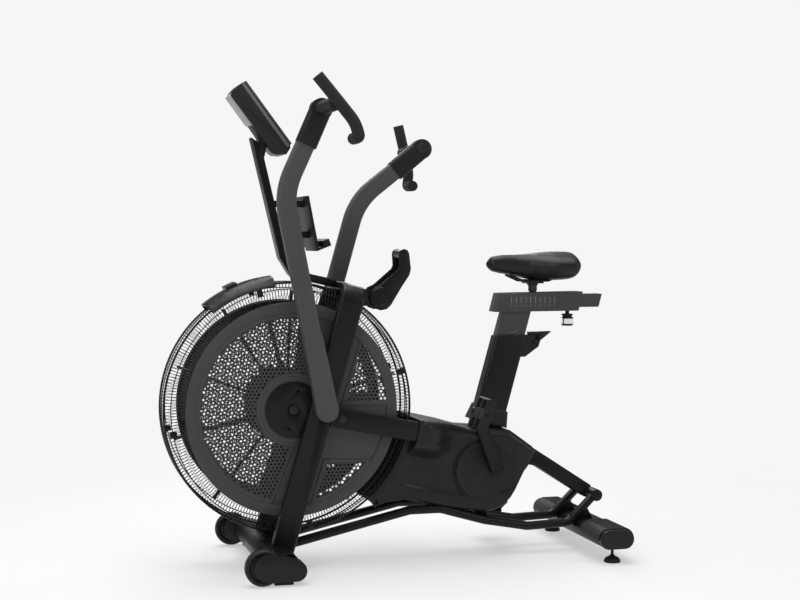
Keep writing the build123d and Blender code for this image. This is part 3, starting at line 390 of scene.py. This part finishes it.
def sheet(outlines, y, thick, bevel):
    """Flat sheet with rounded edges, cut to closed outlines round the fan's axle. The first is the outside."""
    data = bpy.data.curves.new("sheet", "CURVE")
    data.dimensions, data.fill_mode = "2D", "BOTH"
    data.extrude, data.bevel_depth, data.bevel_resolution = thick / 2 - bevel, bevel, 1
    for points in outlines:
        spline = data.splines.new("POLY")
        spline.points.add(len(points) - 1)
        for point, (x, z) in zip(spline.points, points):
            point.co = (x, z, 0, 1)
        spline.use_cyclic_u = True
    piece = bpy.data.objects.new("sheet", data)
    bpy.context.collection.objects.link(piece)
    select_only(piece)
    bpy.ops.object.convert(target="MESH")
    piece = bpy.context.object
    piece.data.transform(Matrix.Translation((AXLE.x, y, AXLE.z)) @ Matrix.Rotation(math.pi / 2, 4, "X"))
    bpy.ops.object.mode_set(mode="EDIT")
    bpy.ops.mesh.select_all(action="SELECT")
    bpy.ops.mesh.remove_doubles(threshold=0.00001)
    bpy.ops.mesh.normals_make_consistent(inside=False)
    bpy.ops.object.mode_set(mode="OBJECT")
    bpy.ops.object.shade_smooth_by_angle(angle=math.radians(40))
    return piece


def windows(margin):
    """The plate's three windows, drawn in by a margin."""
    m, r = margin, 0.252 - margin
    front = [(-0.052 - m, -0.244 + m), (-0.004 - m, -0.099 - m)]
    main = arc(r, 75 + 60 * m, 256 - 60 * m, 40) + front[1:] + arc(0.099 + m, 262, 62, 20)
    upper = [(0.146 + 1.3 * m, 0.017 + m)] + arc(0.266 - m, 4 + 250 * m, 44 - 180 * m, 12)
    lower = [(0.094 + m, -0.148 - m)] + arc(0.252 - m, -76 + 300 * m, -36 - 200 * m, 10)
    return [main, upper, lower]


def inside(point, outline):
    """Whether a point lies in a closed outline, counted by crossings."""
    x, z = point
    hit = False
    for (x0, z0), (x1, z1) in zip(outline, outline[1:] + outline[:1]):
        if (z0 > z) != (z1 > z) and x < x0 + (z - z0) / (z1 - z0) * (x1 - x0):
            hit = not hit
    return hit


PITCH = 0.011  # from one hole to the next
PLATE_Y = 0.104


def perforated(y, turn):
    """Honeycomb of hexagons, with a hole in each one that lies well inside a window."""
    rows, across = 56, 50
    step = PITCH * math.sqrt(3) / 2
    bpy.ops.mesh.primitive_circle_add(vertices=6, radius=PITCH / math.sqrt(3), fill_type="NGON",
                                      location=(-PITCH * (across - 1) / 2, -step * (rows - 1) / 2, 0))
    piece = bpy.context.object
    bpy.ops.object.transform_apply()
    modify(piece, "ARRAY", count=across, use_relative_offset=False, use_constant_offset=True,
           constant_offset_displace=(PITCH, 0, 0))
    modify(piece, "ARRAY", count=2, use_relative_offset=False, use_constant_offset=True,
           constant_offset_displace=(PITCH / 2, step, 0))
    modify(piece, "ARRAY", count=rows // 2, use_relative_offset=False, use_constant_offset=True,
           constant_offset_displace=(0, 2 * step, 0))
    piece.data.transform(Matrix.Rotation(math.radians(turn), 4, "Z"))
    shapes, reach = windows(0.004), windows(-0.005)
    faces = piece.data.polygons
    keep = [any(inside(face.center[:2], shape) for shape in reach) for face in faces]
    holes = [any(inside(face.center[:2], shape) for shape in shapes) for face in faces]
    bpy.ops.object.mode_set(mode="EDIT")
    bpy.ops.mesh.select_all(action="DESELECT")
    bpy.ops.object.mode_set(mode="OBJECT")
    for face, stays in zip(faces, keep):
        face.select = not stays
    bpy.ops.object.mode_set(mode="EDIT")
    bpy.ops.mesh.delete(type="FACE")
    bpy.ops.object.mode_set(mode="OBJECT")
    for face, hole in zip(piece.data.polygons, [h for h, k in zip(holes, keep) if k]):
        face.select = hole
    bpy.ops.object.mode_set(mode="EDIT")
    bpy.ops.mesh.inset(thickness=PITCH * 0.18, use_individual=True)
    bpy.ops.mesh.delete(type="FACE")
    bpy.ops.mesh.select_all(action="SELECT")
    bpy.ops.mesh.remove_doubles(threshold=0.0001)
    bpy.ops.object.mode_set(mode="OBJECT")
    piece.data.transform(Matrix.Translation((AXLE.x, y, AXLE.z)) @ Matrix.Rotation(math.pi / 2, 4, "X"))
    modify(piece, "SOLIDIFY", thickness=0.0012, offset=0)
    return piece


for side, word in ((-1, "left"), (1, "right")):
    face = sheet([arc(0.2885, 0, 357.5, 143)] + windows(0), side * PLATE_Y, 0.002, 0.0006)
    lip = sheet([arc(0.2895, 0, 357.5, 143), arc(0.264, 0, 357, 119)], side * 0.1060, 0.0048, 0.0019)
    boss = sheet([arc(0.097, 0, 355, 71), arc(0.060, 0, 354, 59)], side * 0.1058, 0.0050, 0.0022)
    collar = sheet([arc(0.0875, 0, 355, 71), arc(0.0765, 0, 354, 59)], side * 0.1092, 0.0044, 0.0020)
    edge = ring(0.2885, side * 0.1, 0.0022)
    edge.scale = (1, 1, 2.4)
    frames = [sheet([wide, shape], side * 0.1058, 0.0042, 0.0017)
              for wide, shape in zip(windows(-0.009), windows(-0.001))]
    plate = joined([face, lip, boss, collar, edge] + frames)
    place(plate, f"side_plate_{word}", PLATE_COAT, "frame", "guard_black", (f"guard_plate_{word}",))
    pierced = perforated(side * 0.1022, 0 if side < 0 else 21.8)
    place(pierced, f"perforated_sheet_{word}", PLATE_COAT, "frame", "guard_black")
    for k, angle in enumerate((17, 105, 191, 279)):
        start = 0.092 if side < 0 and angle in (105, 191) else 0.256
        bar = sheet([[(start, -0.005), (0.286, -0.005), (0.286, 0.005), (start, 0.005)]], side * 0.0985, 0.003,
                    0.001)
        clip = sheet([[(0.318, -0.006), (0.334, -0.006), (0.334, 0.006), (0.318, 0.006)]], side * 0.0765, 0.008,
                     0.002)
        strut = joined([bar, clip])
        strut.data.transform(Matrix.Translation(AXLE) @ Matrix.Rotation(-math.radians(angle), 4, "Y")
                             @ Matrix.Translation(-AXLE))
        place(strut, f"guard_strut_{word}_{k}", WIRE_COAT, "frame", "guard_black")


# ---- Drive housing
# Two moulded halves, screwed together on the middle line, with a round cover over each crank. The
# flanks are softly rounded, flare out at the front round the side beams and carry a shallow panel.
def turned_piece(profile, centre, axis="Z", steps=48):
    """A solid of revolution: radius and height pairs, turned about an axis through a point."""
    data = bpy.data.meshes.new("turned")
    data.from_pydata([(r / 1000, 0, h / 1000) for r, h in profile],
                     [(k, k + 1) for k in range(len(profile) - 1)], [])
    piece = bpy.data.objects.new("turned", data)
    bpy.context.collection.objects.link(piece)
    select_only(piece)
    bpy.ops.object.mode_set(mode="EDIT")
    bpy.ops.mesh.select_all(action="SELECT")
    bpy.ops.mesh.spin(steps=steps, angle=2 * math.pi, center=(0, 0, 0), axis=(0, 0, 1))
    bpy.ops.mesh.select_all(action="SELECT")
    bpy.ops.mesh.remove_doubles(threshold=0.00002)
    bpy.ops.mesh.normals_make_consistent(inside=False)
    bpy.ops.object.mode_set(mode="OBJECT")
    if axis == "Y":
        data.transform(Matrix.Rotation(math.pi / 2, 4, "X"))
    data.transform(Matrix.Translation(centre))
    bpy.ops.object.shade_smooth_by_angle(angle=math.radians(35))
    return piece


PROFILE = arc(0.352, -6, -50, 18) + [
    (0.242, -0.275), (0.262, -0.268), (0.320, -0.264), (0.382, -0.280), (0.453, -0.297), (0.557, -0.313),
    (0.590, -0.309), (0.618, -0.297), (0.640, -0.275), (0.652, -0.256), (0.680, -0.202), (0.693, -0.186),
    (0.714, -0.146), (0.705, -0.132), (0.638, -0.083), (0.504, -0.071), (0.452, -0.056)]
PANEL = [(0.366, -0.100), (0.334, -0.135), (0.312, -0.226), (0.400, -0.249), (0.482, -0.263), (0.640, -0.262),
         (0.650, -0.130), (0.512, -0.084), (0.452, -0.088), (0.400, -0.100)]
FLANK, FLARE = 0.080, 0.142


def to_edge(point, outline):
    """Distance from a point to the nearest side of a closed outline."""
    spot = Vector(point)
    nearest = 1.0
    for a, b in zip(outline, outline[1:] + outline[:1]):
        a, b = Vector(a), Vector(b)
        along = (b - a)
        t = min(1.0, max(0.0, (spot - a).dot(along) / along.length_squared))
        nearest = min(nearest, (a + along * t - spot).length)
    return nearest


def ease(t):
    """A smooth step from 0 to 1."""
    t = min(1.0, max(0.0, t))
    return t * t * (3 - 2 * t)


def flank(x, z):
    """How far the housing's skin stands from the middle plane at a point."""
    level = FLANK
    beam = -0.064 - 0.2 * (x - 0.322)
    across = 1 - ease((abs(z - beam) - 0.034) / 0.050)
    level += (FLARE - FLANK) * across * (1 - ease((x - 0.374) / 0.100))
    level += 0.016 * (1 - ease((x - 0.24) / 0.16)) * (1 - across)
    if inside((x, z), PANEL):
        level -= 0.0035 * ease(to_edge((x, z), PANEL) / 0.012)
    edge = to_edge((x, z), PROFILE) if inside((x, z), PROFILE) else 0.0
    roll = 0.018
    if edge < roll and x > 0.36:
        level -= roll - math.sqrt(roll * roll - (roll - edge) ** 2)
    return level


for side, word in ((-1, "left"), (1, "right")):
    bpy.ops.mesh.primitive_grid_add(x_subdivisions=150, y_subdivisions=96, size=1)
    skin = bpy.context.object
    for vertex in skin.data.vertices:
        x, z = 0.470 + 0.50 * vertex.co.x, -0.180 + 0.30 * vertex.co.y
        vertex.co = (AXLE.x + x, side * flank(x, z), AXLE.z + z)
    bpy.ops.object.mode_set(mode="EDIT")
    bpy.ops.mesh.select_all(action="SELECT")
    bpy.ops.mesh.extrude_region_move(TRANSFORM_OT_translate={"value": (0, -side * 0.2, 0)})
    bpy.ops.mesh.select_all(action="SELECT")
    bpy.ops.mesh.normals_make_consistent(inside=False)
    bpy.ops.object.mode_set(mode="OBJECT")
    block = sheet([PROFILE], side * 0.076, 0.152, 0.0001)
    modify(skin, "BOOLEAN", operation="INTERSECT", solver="EXACT", object=block)
    bpy.data.objects.remove(block)
    # a pocket that the push rod moves in
    rod_low, rod_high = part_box(f"push_rod_{word}")
    bpy.ops.mesh.primitive_cube_add(size=1, location=(rod_high[0] - 0.015, (rod_low[1] + rod_high[1]) / 2,
                                                      rod_low[2] + 0.003),
                                    scale=(0.100, rod_high[1] - rod_low[1] + 0.010, 0.034))
    pocket = bpy.context.object
    modify(skin, "BOOLEAN", operation="DIFFERENCE", solver="EXACT", object=pocket)
    bpy.data.objects.remove(pocket)
    select_only(skin)
    bpy.ops.object.shade_smooth_by_angle(angle=math.radians(40))
    place(skin, f"drive_housing_{word}", HOUSING, "frame", "fairing_grey", (f"fairing_{word}",))
    flange = sheet([arc(0.333, -8, -50, 16) + arc(0.362, -50, -8, 16)], side * 0.0925, 0.007, 0.002)
    place(flange, f"housing_mouth_{word}", HOUSING, "frame", "fairing_grey")
    screw = turned_piece(((0, -3), (6, -3), (6, 2.4), (5, 3), (3, 3), (3, 1), (0, 1)),
                         at(372, side * 141.5, 372), "Y")
    place(screw, f"housing_screw_{word}", SCREW, "frame", "fairing_grey")
    groove = [sheet([arc(0.0835, 0, 355, 71), arc(0.0800, 0, 355, 71)], side * 0.0795, 0.0035, 0.001)]
    groove[0].data.transform(Matrix.Translation((0.549, 0, -0.193)))
    place(groove[0], f"cover_ring_{word}", HOUSING, "frame", "fairing_grey")
broken_edges("crank_covers", HOUSING, 0.002, 2, 30)


# ---- Saddle
# Moulded foam under a stretched synthetic cover, with a rounded nose and a broad tail. It is one closed
# skin: the seam of the real cover isn't modelled.
STATIONS = ((0.0, 0.014, 0.846, 0.814), (0.06, 0.022, 0.854, 0.810), (0.16, 0.027, 0.858, 0.804),
            (0.30, 0.030, 0.858, 0.797), (0.42, 0.043, 0.860, 0.789), (0.55, 0.072, 0.864, 0.784),
            (0.70, 0.097, 0.867, 0.783), (0.86, 0.105, 0.867, 0.785), (0.95, 0.096, 0.863, 0.791),
            (1.0, 0.074, 0.850, 0.806))


def saddle():
    """A rounded block, shaped by its half width, top and bottom at each station from nose to tail."""
    bpy.ops.mesh.primitive_uv_sphere_add(segments=64, ring_count=48, radius=1, rotation=(0, math.pi / 2, 0))
    piece = bpy.context.object
    bpy.ops.object.transform_apply()
    low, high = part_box("saddle")
    for vertex in piece.data.vertices:
        x, y, z = vertex.co
        t = (x + 1) / 2
        after = next(k for k in range(1, len(STATIONS)) if t <= STATIONS[k][0] + 1e-6)
        a, b = STATIONS[after - 1], STATIONS[after]
        share = ease((t - a[0]) / (b[0] - a[0])) * 0.5 + 0.5 * (t - a[0]) / (b[0] - a[0])
        half, top, bottom = (a[k] + (b[k] - a[k]) * share for k in (1, 2, 3))
        radial = math.hypot(y, z)
        if radial < 1e-5:
            ring_y, ring_z, squared = 0.0, 0.0, 0.0
        else:
            ring_y, ring_z = y / radial, z / radial
            squared = (abs(ring_y) ** 2.3 + abs(ring_z) ** 2.3) ** (-1 / 2.3)
        cap = min(1.0, max(0.0, t) / 0.06, max(0.0, 1 - t) / 0.10) ** 0.42
        out = abs(ring_y * squared)
        middle, tall = (top + bottom) / 2, (top - bottom) / 2
        crown = -0.010 * out ** 2 * ease((t - 0.45) / 0.3) * max(0.0, ring_z) + 0.005 * max(0.0, -ring_z) * out
        vertex.co = (low[0] + (high[0] - low[0]) * t + 0.002, half * ring_y * squared * cap,
                     middle + tall * ring_z * squared * cap + crown)
    bpy.ops.object.shade_smooth()
    return piece


def saddle_cover():
    finish = Finish("saddle_cover", IOR=1.46, Specular_IOR_Level=0.30)
    finish.vary((0.005, 0.005, 0.005), (0.009, 0.009, 0.009), finish.noise(11, 4), 0.34, 0.12)
    place = finish.node("ShaderNodeTexCoord", {}, {}, "Object")
    pores = finish.node("ShaderNodeTexVoronoi", {"feature": "DISTANCE_TO_EDGE"},
                        {"Vector": place, "Scale": 420.0}, "Distance")
    finish.bump(pores * 0.7 + finish.noise(60, 3) * 0.3, 0.25, 0.0006)
    return finish.material


pad = saddle()
place(pad, "saddle_pad", saddle_cover(), "seat", "saddle_cover", ("saddle",))


# ---- Grips
# Foam sleeves on bent bars: straight above, then bent down and curled in at the lower end. The right
# arm rests a full stroke behind the left one.
FOAM = moulding("grip_foam", (0.012, 0.012, 0.012), (0.020, 0.020, 0.0205), 0.72, 0.8, 520)
PIVOT = (82, 441)


def swung(rear, y, up, degrees):
    """A point of an arm after it has swung to the rear."""
    turn = math.radians(-degrees)
    x, z = rear - PIVOT[0], up - PIVOT[1]
    return at(PIVOT[0] + x * math.cos(turn) - z * math.sin(turn), y,
              PIVOT[1] + x * math.sin(turn) + z * math.cos(turn))


for side, word, swing in ((-1, "left", 0), (1, "right", 27)):
    route = ((15.9, 360, 1316.4), (42, 360, 1285.6), (70, 360, 1252.4), (92, 360, 1226), (111, 360, 1203),
             (120, 360, 1180), (125, 358, 1164), (125, 330, 1163), (125, 312, 1163), (125, 291, 1163))
    bar = tube([swung(u, side * y, z, swing) for u, y, z in route], 0.0158, 6)
    bpy.ops.object.mode_set(mode="EDIT")
    bpy.ops.mesh.select_all(action="SELECT")
    bpy.ops.mesh.remove_doubles(threshold=0.00002)
    bpy.ops.object.mode_set(mode="OBJECT")
    modify(bar, "BEVEL", width=0.004, segments=3, limit_method="ANGLE", angle_limit=math.radians(50))
    bpy.ops.object.shade_smooth_by_angle(angle=math.radians(50))
    place(bar, f"foam_grip_{word}", FOAM, f"arm_{word}", "grip_foam", (f"grip_{word}",))
    cap = turned_piece(((0, -1.2), (15, -1.2), (16.4, 0), (15, 1.2), (6, 1.2), (5, 0.6), (0, 0.6)),
                       swung(67, side * 141.6, 1249, swing), "Y")
    place(cap, f"cross_tube_cap_{word}", TRIM, f"arm_{word}", "handle_black")


# ---- Top handle
# A bent steel channel on a pivot bolt: two cheeks, a web between them and a rolled bar at the end.
def lever_sheet(points, y, thick, bevel):
    """A plate in the side plane, from points behind the fan axle and above the floor."""
    return sheet([[(u / 1000, z / 1000 - AXLE.z) for u, z in points]], y / 1000, thick / 1000, bevel / 1000)


CHEEK = ((236, 724), (246, 712), (262, 706), (279, 709), (291, 720), (300, 735), (324, 774), (344, 803),
         (348, 820), (343, 862), (338, 871), (330, 873), (321, 869), (318, 861), (320, 828), (315, 817),
         (262, 772), (244, 764), (232, 744))
WEB = ((290, 724), (299, 737), (323, 776), (342, 804), (346, 820), (341, 862), (334, 862), (338, 820),
       (334, 808), (315, 780), (289, 742), (282, 730))
HUB_CAP = ((0, 0), (31, 0), (31, 3), (29, 5), (20, 5.5), (18, 4), (0, 4))
handle_pieces = [lever_sheet(CHEEK, side * 38, 8, 2.5) for side in (-1, 1)] + [lever_sheet(WEB, 0, 76, 1)]
handle_pieces.append(turned_piece(((0, -41), (11, -41), (13, -39), (13, 39), (11, 41), (0, 41)),
                                  at(330, 0, 860), "Y"))
for side in (-1, 1):
    hub_cap = [(r, -side * h) for r, h in HUB_CAP]
    handle_pieces.append(turned_piece(hub_cap, at(262, side * 40.5, 738), "Y"))
place(joined(handle_pieces), "tilting_handle", FRAME_COAT, "top_handle", "handle_black", ("top_handle",))


# ---- Console
# A tapered plastic housing with a light grey cover behind, and a satin bezel that faces the rider, with two
# push buttons. The glossy screen and its display are flush plates that lie just under the bezel's face.
bezel_grey = moulding("bezel_plastic", (0.045, 0.045, 0.046), (0.06, 0.06, 0.061), 0.34, 0.15)
strip_grey = moulding("trim_strip_plastic", (0.10, 0.10, 0.10), (0.13, 0.13, 0.13), 0.34, 0.15)
cover_grey = moulding("back_cover_plastic", (0.30, 0.30, 0.30), (0.36, 0.36, 0.36), 0.4, 0.2)
glass = Finish("screen_glass", Base_Color=(0.004, 0.004, 0.005, 1), Coat_Weight=0.6)
glass.put(glass.shader.inputs["Roughness"], 0.05 + 0.06 * glass.noise(30, 3))
lcd = Finish("display_glass", Coat_Weight=0.5)
lcd.vary((0.10, 0.11, 0.10), (0.13, 0.14, 0.13), lcd.noise(6, 2), 0.22, 0.05)

HOUSING_SIDE = ((-153, 1292), (-150, 1300), (-131, 1319), (-124, 1321), (-4, 1160), (-4, 1150), (-10, 1137),
                (-32, 1137), (-40, 1142), (-76, 1190))
shell = lever_sheet(HOUSING_SIDE, 0, 174, 3)
for vertex in shell.data.vertices:
    rear, up = vertex.co.x - AXLE.x, vertex.co.z
    depth = -(rear + 0.124) * math.sin(math.radians(53.3)) - (up - 1.321) * math.cos(math.radians(53.3))
    vertex.co.y *= 1 - 0.52 * ease((depth - 0.006) / 0.030)
place(shell, "console_housing", HOUSING, "console", "console_grey", ("console_body",))


def screen_piece(low, high, half, lift, thick, bevel):
    """A plate on the screen's face, between two distances down from the console's top edge."""
    down = Vector((math.cos(math.radians(-53.3)), math.sin(math.radians(-53.3))))
    out = Vector((-down.y, down.x))
    start = Vector((-124, 1325)) + out * lift
    corners = [start + down * low, start + down * high, start + down * high + out * thick,
               start + down * low + out * thick]
    return lever_sheet([tuple(c) for c in corners], 0, 2 * half, bevel)


place(screen_piece(1, 205, 86.5, -3.2, 5.5, 1.8), "console_bezel", bezel_grey, "console", "console_grey")
place(screen_piece(-1, 207, 87.6, -9.5, 4.5, 1.4), "console_trim_strip", strip_grey, "console", "console_grey")
place(screen_piece(10, 160, 76, 1.9, 1.1, 0.4), "console_screen", glass.material, "console", "console_grey")
place(screen_piece(24, 120, 62, 2.9, 0.4, 0.1), "console_display", lcd.material, "console", "console_grey")
back = lever_sheet(((-158.5, 1291), (-151, 1298.5), (-97, 1226), (-98, 1214), (-104, 1217)), 0, 76, 1.6)
place(back, "console_back_cover", cover_grey, "console", "console_grey")
hinge_arm = lever_sheet(((-98, 1214), (-88, 1206), (-70, 1192), (-60, 1186), (-52, 1172), (-70, 1166), (-76, 1182)),
                        0, 60, 2)
place(hinge_arm, "console_hinge_arm", TRIM, "console", "console_grey")


# ---- Device tray
# Bent and coated steel sheet behind the mast: a back plate, a ledge and a lip, held off the mast by two
# blocks. The narrow flap on the right side is guessed, and the CAD tray doesn't have it.
tray = [lever_sheet(((47, 1020), (51, 1020), (78.5, 877.5), (94, 883.5), (89.5, 897), (106.5, 903), (113, 886),
                     (75, 871), (73, 874)), 0, 152, 1)]
tray.append(lever_sheet(((47.2, 1018), (50.8, 1018), (77, 880), (73.4, 880)), 86, 28, 1))
for z, front, rear in ((1000, -32.6, 50.5), (915, -12.7, 66.5)):
    tray.append(lever_sheet(((front + 1, z + 8), (rear, z + 8), (rear + 2, z - 8), (front + 4.6, z - 8)), 0, 36, 1))
place(joined(tray), "bent_sheet_tray", SLEEVE_COAT, "frame", "handle_black", ("device_tray",))


# ---- Seat adjusters
# The saddle's carriage has a printed scale and its post a few marks; a sprung knob with a chrome band
# locks the carriage from below.
CHROME = bright_metal("chrome_plate", (0.82, 0.83, 0.85), 0.08, (1, 1, 8))
INK = moulding("scale_ink", (0.16, 0.16, 0.16), (0.20, 0.20, 0.20), 0.5, 0.1)
for side, word in ((-1, "left"), (1, "right")):
    marks = []
    for k in range(10):
        u = 653 + 14.67 * k
        marks.append(lever_sheet(((u - 0.8, 719), (u + 0.8, 719), (u + 0.8, 737), (u - 0.8, 737)), side * 30.05,
                                 0.3, 0.05))
        marks.append(lever_sheet(((u - 1.2, 711), (u + 1.2, 711), (u + 1.2, 713.4), (u - 1.2, 713.4)),
                                 side * 30.05, 0.3, 0.05))
    place(joined(marks), f"carriage_scale_{word}", INK, "seat_post", "inner_steel")
    marks = [lever_sheet(((u, z), (u + 3, z + 0.8), (u + 3, z + 1.8), (u, z + 1)), side * 21.05, 0.3, 0.05)
             for u, z in ((648, 631), (654, 633), (660, 634.6), (666, 636.2), (672, 638), (675, 627), (669, 625))]
    place(joined(marks), f"post_scale_{word}", INK, "seat_post", "inner_steel")
knob_at = at(836, 0, 664)
stem = turned_piece(((0, 34), (6, 34), (6, 22), (16, 21), (17, 19), (13, 13), (18, 10), (18, 8), (0, 8)), knob_at)
foot = turned_piece(((0, -8), (18, -8), (18, -10), (15, -13.5), (0, -13.5)), knob_at)
place(joined([stem, foot]), "knob_body", TRIM, "slider_knob", "zinc_steel", ("slider_knob",))
band = turned_piece(((0, 8.4), (17.5, 8.4), (18.8, 7.4), (18.8, -7.4), (17.5, -8.4), (0, -8.4)), knob_at)
place(band, "knob_band", CHROME, "slider_knob", "zinc_steel")


# ---- Transport wheels
# Moulded wheels with a dished face and a hub, one at each end of the front stabilizer, half inside its
# covers.
TYRE = moulding("wheel_plastic", (0.008, 0.008, 0.008), (0.016, 0.016, 0.016), 0.38)
for side, word in ((-1, "left"), (1, "right")):
    low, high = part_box(f"transport_wheel_{word}")
    middle = (Vector(low) + Vector(high)) / 2
    radius, half = (high[2] - low[2]) * 500, (high[1] - low[1]) * 500
    rolled = turned_piece(((0, -half), (9, -half), (10, 1 - half), (12, 6 - half), (radius - 15, 7 - half),
                           (radius - 11, 1 - half), (radius - 9, -half), (radius - 4, -half), (radius, 4 - half),
                           (radius, half - 4), (radius - 4, half), (radius - 9, half), (radius - 11, half - 1),
                           (radius - 15, half - 7), (12, half - 6), (10, half - 1), (9, half), (0, half)),
                          middle, "Y", 64)
    place(rolled, f"moulded_wheel_{word}", TYRE, f"wheel_{word}", "wheel_plastic", (f"transport_wheel_{word}",))


# ---- Feet and step pads
# Dome-shaped rubber feet on stems under the rear stabilizer, and studded rubber treads that wrap the top of
# its tube at both ends.
for word in ("left", "right"):
    low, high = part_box(f"levelling_foot_{word}")
    middle = (Vector(low) + Vector(high)) / 2
    top = (high[2] - low[2]) * 1000
    dome = turned_piece(((0, 0.1), (22.5, 0.1), (23.5, 1.5), (22.5, 7), (18.5, 12), (12.5, 15.5), (7.5, 16.6),
                         (7.5, 20), (4, 20), (4, top - 0.2), (0, top - 0.2)), (middle.x, middle.y, low[2]))
    place(dome, f"dome_foot_{word}", RUBBER, f"foot_{word}", "pad_rubber", (f"levelling_foot_{word}",))
tread = Finish("step_tread", IOR=1.45, Specular_IOR_Level=0.4)
studs = tread.node("ShaderNodeTexVoronoi", {"voronoi_dimensions": "3D"}, {
    "Vector": tread.node("ShaderNodeTexCoord", {}, {}, "Object"), "Scale": 140.0, "Randomness": 0.25}, "Distance")
tread.vary((0.010, 0.010, 0.010), (0.026, 0.026, 0.026), studs, 0.6, 0.1)
tread.bump(studs, 0.9, 0.0016)
broken_edges("step_pads", tread.material, 0.0015)
